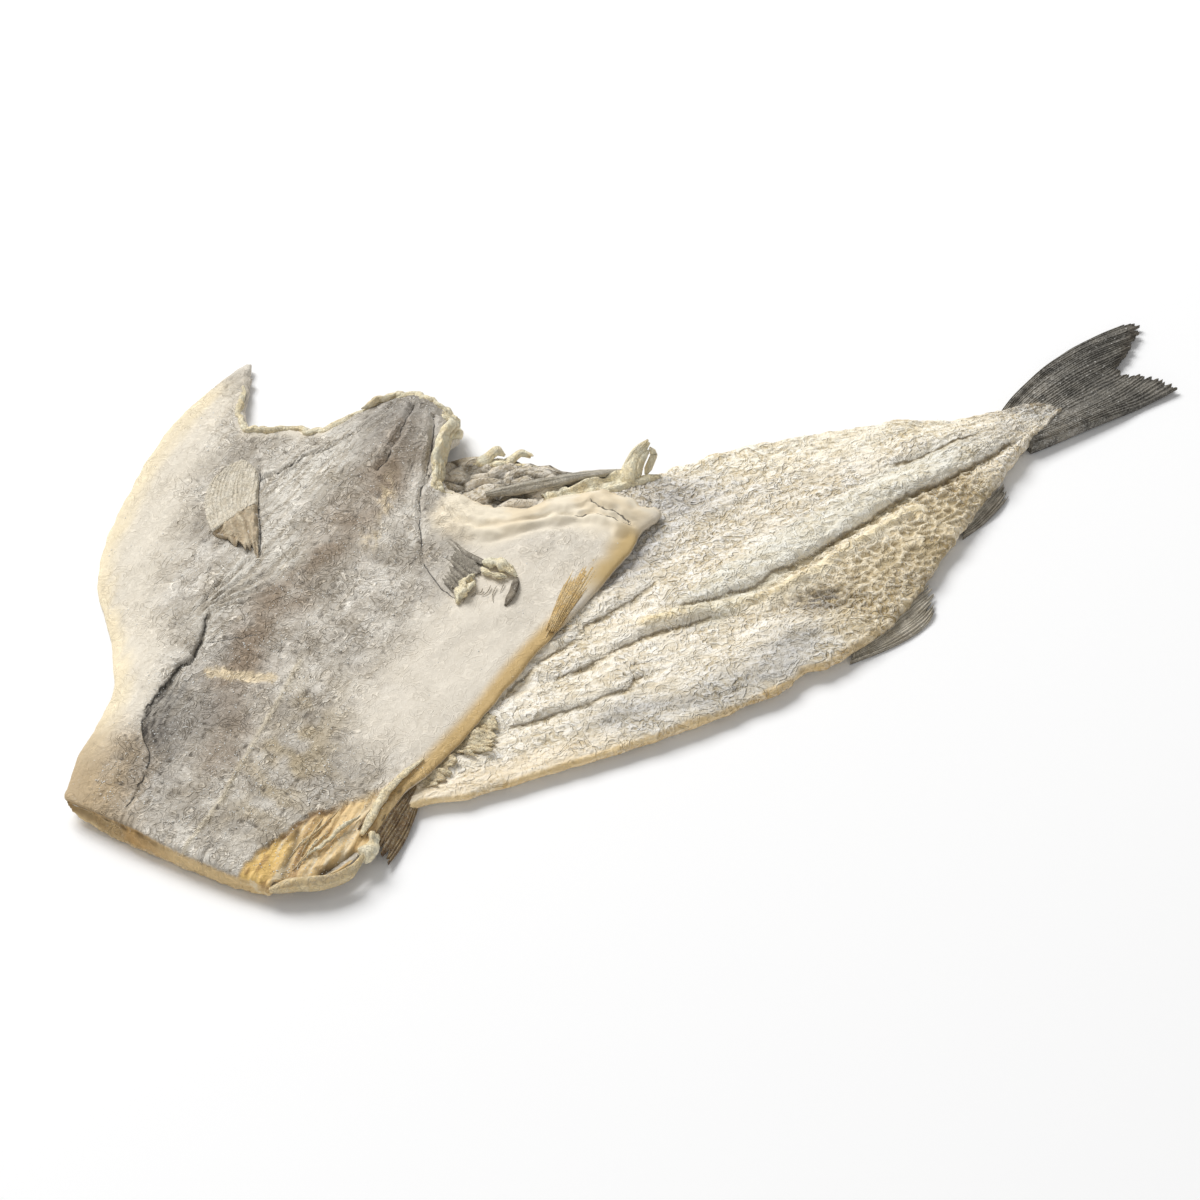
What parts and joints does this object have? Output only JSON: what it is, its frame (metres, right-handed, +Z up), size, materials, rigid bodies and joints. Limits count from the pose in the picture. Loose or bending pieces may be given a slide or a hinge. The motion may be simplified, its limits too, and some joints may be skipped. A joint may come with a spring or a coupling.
{
  "type": "salted dried cod",
  "caption": "Whole split and salted dried cod, headless and flattened, folded across so the skin side of the front half lies on the flesh of the rear half, with its tail fin.",
  "frame": {"origin": "on the surface it lies on, under the middle of its box", "axes": "+X along the rear half, from the fold towards the tail; +Z up out of the surface it lies on; +Y across the fish towards the far margin"},
  "size_m": [0.474, 0.272, 0.0236],
  "materials": {
    "flesh": "dry fibrous salted flesh, matt",
    "skin": "dry wrinkled grey-beige skin with a crust of fine salt",
    "fin": "dry dark fin rays, matt",
    "membrane": "dry wrinkled grey belly lining",
    "salt": "fine salt grains"
  },
  "bodies": {
    "root": {"cod": "flesh"}
  },
  "joints": []
}
